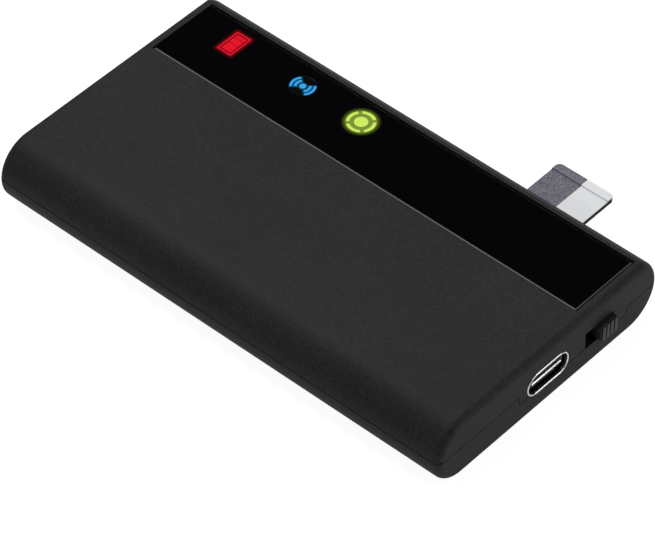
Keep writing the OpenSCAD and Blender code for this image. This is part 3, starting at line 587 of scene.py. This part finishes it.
bm = bmesh.new()
cap_lip = 0.015 * mm
for low, high in part_boxes:
    along = 1 if high.y - low.y > high.x - low.x else 0
    inner_low, inner_high = low + Vector((cap_lip,) * 3), high - Vector((cap_lip,) * 3)
    block(bm, inner_low, inner_high, 0.02 * mm, 0, 1)
    near, far = high.copy(), low.copy()
    near[along], far[along] = low[along] + cap_long, high[along] - cap_long
    block(bm, low, near, 0.03 * mm, 1)
    block(bm, far, high, 0.03 * mm, 1)
body_tan = grained("capacitor_body", (0.16, 0.10, 0.06), (0.42, 0.31, 0.20), 6000.0, 900.0, (0.4, 0.6), 0.3)
piece_from(bm, "small_capacitors", (body_tan, tin), "housing", ["small_parts"])

# ---------------------------------------------------------------------------
# Battery with its socket and leads
# A flat lithium-polymer pouch in aluminium laminate, with amber polyimide tape over the sealed edge by the leads.
# Two insulated wires end in a nylon socket on the board, and foam tape holds the pouch down.
# ---------------------------------------------------------------------------
cell_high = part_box("battery_cell")[1]
pouch, tree, shader, place = fresh_finish("pouch_laminate")
crinkle = noise(tree, place, 330.0, 6.0, 0.55, 1.2)
tape = eased(tree, axis(tree, place, "X"), cell_high.x - 3.6 * mm, cell_high.x - 3.55 * mm)
foil = mixed(tree, crinkle, (0.55, 0.56, 0.58, 1), (0.74, 0.75, 0.77, 1))
amber = mixed(tree, crinkle, (0.52, 0.20, 0.02, 1), (0.72, 0.33, 0.05, 1))
feed(shader, base_color=mixed(tree, tape, foil, amber), metallic=eased(tree, tape, 0.0, 1.0, 0.9, 0.1),
     roughness=eased(tree, crinkle, 0.0, 1.0, 0.28, 0.5), normal=relief(tree, crinkle, 0.5, 0.25 * mm))
cell = edged_copy("battery_cell", "battery_pouch", 0.22 * mm, pouch, 3)
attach(cell, "housing")
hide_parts("battery_cell")

dress("battery_socket", grained("white_nylon", (0.64, 0.63, 0.58), (0.78, 0.77, 0.73), 3600.0, 300.0,
                                (0.4, 0.55), 0.2))


def wire_skin(name, dark, light):
    """Extruded insulation: faint draw lines along the wire and a waxy sheen."""
    made, tree, shader, place = fresh_finish(name, ior=1.5)
    drawn = put(tree, "Mapping", {"Vector": place, "Scale": (1, 12, 12)}).outputs[0]
    lines = noise(tree, drawn, 900.0, 4.0)
    feed(shader, base_color=mixed(tree, lines, (*dark, 1), (*light, 1)),
         roughness=eased(tree, lines, 0.0, 1.0, 0.3, 0.48))
    return made


dress("battery_lead_red", wire_skin("red_insulation", (0.42, 0.010, 0.008), (0.60, 0.022, 0.016)))
dress("battery_lead_black", wire_skin("black_insulation", (0.010, 0.010, 0.011), (0.022, 0.022, 0.024)))

# ---------------------------------------------------------------------------
# Charging port: steel shell, tongue and contacts
# A drawn stainless shell with a rolled lip that stands a hair proud of the end face, on four feet soldered down.
# Inside is a black moulded tongue with a steel mid plate showing at its edge, and gold contacts on both faces.
# ---------------------------------------------------------------------------
port_low, port_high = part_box("port_shell")
tongue_low, tongue_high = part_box("port_tongue")
port_mid = Vector((0, (port_low.y + port_high.y) / 2, (tongue_low.z + tongue_high.z) / 2))
collar = (port_high.y - port_low.y, 2 * (port_high.z - port_mid.z))


def pill_loop(bm, wide, high, x):
    """A flat-sided oval across the port at x: a circle whose two halves are drawn apart. Returns its edges."""
    made = bmesh.ops.create_circle(bm, segments=56, radius=high / 2)["verts"]
    bmesh.ops.rotate(bm, verts=made, cent=(0, 0, 0), matrix=Matrix.Rotation(math.pi / 56, 3, "Z"))
    bmesh.ops.rotate(bm, verts=made, cent=(0, 0, 0), matrix=Matrix.Rotation(math.pi / 2, 3, "Y"))
    for vert in made:
        vert.co.y += math.copysign((wide - high) / 2, vert.co.y)
    bmesh.ops.translate(bm, verts=made, vec=(x, port_mid.y, port_mid.z))
    return edges_of(made)


def painted_shade_along_x(finish, start, end, shade):
    """Paints shade into a finished material's colour along X: none at start, and wholly the shade colour at end."""
    tree = finish.node_tree
    shader = tree.nodes["Principled BSDF"]
    plain = shader.inputs["Base Color"].links[0].from_socket
    along = axis(tree, put(tree, "TexCoord").outputs["Object"], "X")
    feed(shader, base_color=mixed(tree, eased(tree, along, start, end), plain, shade))


steel_port, painted_shade_bore = (
    worn_metal(name, (0.70, 0.70, 0.70), (0.92, 0.92, 0.92), (0.14, 0.26), (8, 1, 1), 700.0, 0.1)
    for name in ("drawn_stainless", "bore_with_painted_shade"))
# Painted shade: the bore's colour darkens from 0.40 mm to 0.75 mm inside the lip, standing in for the shade deep in
# the port.
painted_shade_along_x(painted_shade_bore, port_high.x - 0.40 * mm, port_high.x - 0.75 * mm, (0.09, 0.09, 0.095, 1))


def drawn_on(bm, edges, was, becomes, x):
    """Extrudes the open end of an oval of one size into the next, which lies further along. Returns the new end."""
    made = bmesh.ops.extrude_edge_only(bm, edges=edges)["geom"]
    ends = {v for v in made if isinstance(v, bmesh.types.BMVert)}
    for vert in ends:
        aside = vert.co.y - port_mid.y
        round_y = aside - math.copysign((was[0] - was[1]) / 2, aside)
        grown = becomes[1] / was[1]
        vert.co = (x, port_mid.y + math.copysign((becomes[0] - becomes[1]) / 2, aside) + round_y * grown,
                   port_mid.z + (vert.co.z - port_mid.z) * grown)
    return [e for e in made if isinstance(e, bmesh.types.BMEdge) and all(v in ends for v in e.verts)]


bm = bmesh.new()
tube = (8.94 * mm, 3.16 * mm)
bore = (8.34 * mm, 2.56 * mm)
mouth = (collar[0] - 0.66 * mm, collar[1] - 0.66 * mm)
lip = (collar[0] - mouth[0]) / 4
lip_steps = 12
flange_back, flange_front = port_high.x - 1.37 * mm, port_high.x - 1.33 * mm
mouth_end, bore_start, bore_end = port_high.x - 1.05 * mm, port_high.x - 1.20 * mm, port_low.x + 0.3 * mm
stations = [(tube, flange_back), (collar, flange_front)]
for step in range(lip_steps + 1):
    bend = math.pi * step / lip_steps
    drawn_in = 2 * lip * (1 - math.cos(bend))
    stations.append(((collar[0] - drawn_in, collar[1] - drawn_in), port_high.x - lip + lip * math.sin(bend)))
outer_stations = len(stations)
stations += [(mouth, mouth_end), (bore, bore_start), (bore, bore_end)]
oval = tube
loop = pill_loop(bm, *tube, port_low.x)
bmesh.ops.edgeloop_fill(bm, edges=loop)
for count, (next_oval, x) in enumerate(stations):
    earlier = set(bm.faces)
    loop = drawn_on(bm, loop, oval, next_oval, x)
    oval = next_oval
    for face in set(bm.faces) - earlier:
        face.material_index = int(count >= outer_stations)
for face in bmesh.ops.edgeloop_fill(bm, edges=loop)["faces"]:
    face.material_index = 1
foot_half_x, foot_half_y, foot_from_middle = 0.4 * mm, 0.13 * mm, 4.33 * mm
for x in (port_high.x - 6.05 * mm, port_high.x - 3.15 * mm):
    for side in (-1, 1):
        y = port_mid.y + side * foot_from_middle
        block(bm, Vector((x - foot_half_x, y - foot_half_y, port_low.z)),
              Vector((x + foot_half_x, y + foot_half_y, port_mid.z)), 0.05 * mm)
piece_from(bm, "port_rolled_shell", (steel_port, painted_shade_bore), "housing", ["port_shell"], 50.0)

bm = bmesh.new()
root_x = tongue_high.x - 4.5 * mm
root = (8.26 * mm, 2.48 * mm)
base = [pill_loop(bm, *root, tongue_low.x), pill_loop(bm, *root, root_x)]
bmesh.ops.bridge_loops(bm, edges=base[0] + base[1])
for loop in base:
    bmesh.ops.edgeloop_fill(bm, edges=loop)
half_w, half_t = 3.345 * mm, 0.35 * mm
block(bm, Vector((root_x - 0.1 * mm, port_mid.y - half_w, port_mid.z - half_t)),
      Vector((tongue_high.x, port_mid.y + half_w, port_mid.z + half_t)), 0.12 * mm, 0, 3)
plate_half_w, plate_half_t, plate_out = half_w + 0.03 * mm, 0.21 * mm, 0.30 * mm
block(bm, Vector((root_x, port_mid.y - plate_half_w, port_mid.z - plate_half_t)),
      Vector((tongue_high.x + plate_out, port_mid.y + plate_half_w, port_mid.z + plate_half_t)), 0.19 * mm, 1, 6)
black_moulding = grained("black_moulding", (0.010, 0.010, 0.011), (0.022, 0.022, 0.024), 6500.0, 240.0,
                         (0.38, 0.52), 0.3)
satin_plate = grained("satin_mid_plate", (0.82, 0.82, 0.82), (0.97, 0.97, 0.97), 5200.0, 700.0, (0.20, 0.38), 0.5,
                      metallic=1.0)
piece_from(bm, "port_moulded_tongue", (black_moulding, satin_plate), "housing", ["port_tongue"], 50.0)

gold = worn_metal("gold_plating", (0.72, 0.52, 0.22), (0.95, 0.78, 0.42), (0.16, 0.32), (1, 6, 6), 900.0, 0.1)
for node in ("port_contacts", "switch_terminals", "switch_wiper", "card_socket_contacts"):
    dress(node, gold)

# ---------------------------------------------------------------------------
# Slide switch
# A small slide switch stands behind the end face: steel frame darkened with painted shade, amber laminate base, black
# actuator.
# The black nylon knob fits over the actuator's stem, and painted shade darkens it behind the tips of its four ribs.
# ---------------------------------------------------------------------------
# Painted shade: the frame's steel is coloured dark grey so that the slot it shows through reads as shadowed.
dress("switch_frame", worn_metal("dark_steel_painted_shade", (0.09, 0.09, 0.09), (0.19, 0.19, 0.185), (0.4, 0.6), (1, 8, 8),
                                 600.0, 0.2))
laminate = grained("amber_laminate", (0.30, 0.17, 0.06), (0.44, 0.28, 0.11), 2600.0, 350.0, (0.4, 0.6), 0.3)
dress("switch_base", laminate)
dress("switch_actuator", black_moulding)
knob_low, knob_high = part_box("switch_knob")
knob_black = grained("knob_black_nylon", (0.024, 0.024, 0.0245), (0.038, 0.038, 0.039), 5600.0, 300.0,
                     (0.48, 0.62), 0.3)
# Painted shade: the knob's colour darkens behind its rib tips, in the grooves and along its sides and top.
painted_shade_along_x(knob_black, knob_high.x - 0.05 * mm, knob_high.x - 0.17 * mm, (0.008, 0.008, 0.0085, 1))
bm = bmesh.new()
rib_count, rib_half, rib_margin = 4, 0.32 * mm, 0.02 * mm
rib_root, knob_front = knob_high.x - 0.40 * mm, knob_high.x - 0.26 * mm
rib_pitch = (knob_high.y - knob_low.y) / rib_count
block(bm, knob_low, Vector((knob_front, knob_high.y, knob_high.z)), 0.09 * mm, 0, 3)
for k in range(rib_count):
    y = knob_low.y + (k + 0.5) * rib_pitch
    block(bm, Vector((rib_root, y - rib_half, knob_low.z + rib_margin)),
          Vector((knob_high.x, y + rib_half, knob_high.z - rib_margin)), 0.07 * mm, 0, 3)
piece_from(bm, "switch_ribbed_knob", (knob_black,), "switch_slider", ["switch_knob"])

# ---------------------------------------------------------------------------
# Memory card and its socket
# A black moulded card with a printed face in two tones: speckled slate on one half, pale grey on the other.
# It slides under the spring-steel cover of a push-push socket, against a small eject slider and its zigzag spring.
# ---------------------------------------------------------------------------
dress("card_socket_base", black_moulding)
dress("eject_slider", black_moulding)
spring_steel = worn_metal("spring_steel", (0.56, 0.56, 0.55), (0.78, 0.78, 0.77), (0.2, 0.36), (12, 1, 12), 500.0)
dress("card_socket_cover", spring_steel)
dress("eject_spring", spring_steel)
card_low, card_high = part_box("card_body")
label_low, label_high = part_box("card_label")
card_mid = (card_low.x + card_high.x) / 2
shoulder = card_high.y - 7.4 * mm
notch_run, notch_depth, card_corner = 1.9 * mm, 1.2 * mm, 0.95 * mm
same_place = 1e-7


def card_outline(bm, inset, z, start):
    """The card's plan at height z as one face: rounded outer corners, and a step in one side towards the contacts."""
    low_y = max(card_low.y + inset, start)
    high_y = card_high.y - inset
    corners = [(card_high.x - inset, low_y), (card_high.x - inset, high_y), (card_low.x + inset, high_y)]
    if low_y < shoulder - notch_run:
        corners += [(card_low.x + inset, shoulder), (card_low.x + notch_depth + inset, shoulder - notch_run),
                    (card_low.x + notch_depth + inset, low_y)]
    else:
        corners += [(card_low.x + inset, low_y)]
    verts = [bm.verts.new((x, y, z)) for x, y in corners]
    bm.faces.new(verts)
    outer = [v for v in verts if abs(v.co.y - high_y) < same_place]
    bmesh.ops.bevel(bm, geom=outer, offset=card_corner - inset, offset_type="OFFSET", affect="VERTICES", segments=8,
                    profile=0.5, material=-1)
    return next(face for face in bm.faces if abs(face.calc_center_median().z - z) < same_place)


def raised(bm, face, height, round_by, segments):
    """Pulls a flat face up into a plate and rounds its upper rim."""
    made = bmesh.ops.extrude_face_region(bm, geom=[face], use_keep_orig=True)["geom"]
    top = [v for v in made if isinstance(v, bmesh.types.BMVert)]
    bmesh.ops.translate(bm, verts=top, vec=(0, 0, height))
    chosen = set(top)
    rims = [e for e in bm.edges if all(v in chosen for v in e.verts)]
    bmesh.ops.bevel(bm, geom=rims, offset=round_by, offset_type="OFFSET", affect="EDGES", segments=segments,
                    profile=0.5, material=-1, clamp_overlap=True)


def card_print(name):
    """Two-tone screen print: speckled slate towards one long side, pale grey towards the other."""
    made, tree, shader, place = fresh_finish(name, ior=1.48)
    surface = grain_at(tree, place, 4300.0, 220.0)
    side = eased(tree, axis(tree, place, "X"), card_mid + 0.22 * mm, card_mid + 0.28 * mm)
    speck = eased(tree, noise(tree, place, 4600.0, 2.0, 0.8), 0.34, 0.68)
    slate = mixed(tree, speck, (0.055, 0.050, 0.070, 1), (0.29, 0.27, 0.34, 1))
    pale = mixed(tree, surface["Tone"], (0.92, 0.945, 0.955, 1), (0.98, 0.99, 1.0, 1))
    feed(shader, base_color=mixed(tree, side, slate, pale),
         roughness=eased(tree, surface["Tone"], 0.0, 1.0, 0.36, 0.52),
         normal=relief(tree, surface["Height"], 0.25, 0.01 * mm))
    return made


card_black = grained("card_black_moulding", (0.006, 0.006, 0.0062), (0.011, 0.011, 0.0115), 6000.0, 400.0,
                     (0.50, 0.62), 0.25, specular_ior_level=0.25)
printed = card_print("card_two_tone_print")
bm = bmesh.new()
raised(bm, card_outline(bm, 0.0, card_low.z, card_low.y), label_low.z - card_low.z, 0.05 * mm, 2)
piece_from(bm, "card_moulded_body", (card_black,), "memory_card", ["card_body"])
bm = bmesh.new()
raised(bm, card_outline(bm, 0.10 * mm, label_low.z, card_low.y), label_high.z - label_low.z, 0.015 * mm, 1)
piece_from(bm, "card_printed_face", (printed,), "memory_card", ["card_label"])
bm = bmesh.new()
ridge_start, ridge_sunk = label_high.y + 0.05 * mm, 0.03 * mm
raised(bm, card_outline(bm, 0.0, label_high.z - ridge_sunk, ridge_start), card_high.z - label_high.z + ridge_sunk,
       0.17 * mm, 5)
bmesh.ops.recalc_face_normals(bm, faces=bm.faces)
for face in bm.faces:
    face.material_index = 1 if face.normal.z < 0.6 and face.normal.y > -0.5 else 0
piece_from(bm, "card_finger_ridge", (printed, card_black), "memory_card", [])
dress("card_contacts", gold)

# ---------------------------------------------------------------------------
# Case screws
# Four small cross-head steel screws go up from below through the lower shell and the board into the upper shell.
# Their heads sit just inside the counterbores, with a nickel finish.
# ---------------------------------------------------------------------------
nickel = worn_metal("nickel_screw", (0.46, 0.45, 0.43), (0.70, 0.69, 0.66), (0.25, 0.42), (1, 1, 6), 800.0)
screws = edged_copy("case_screws", "case_cross_screws", 0.06 * mm, nickel)
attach(screws, "housing")
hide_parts("case_screws")
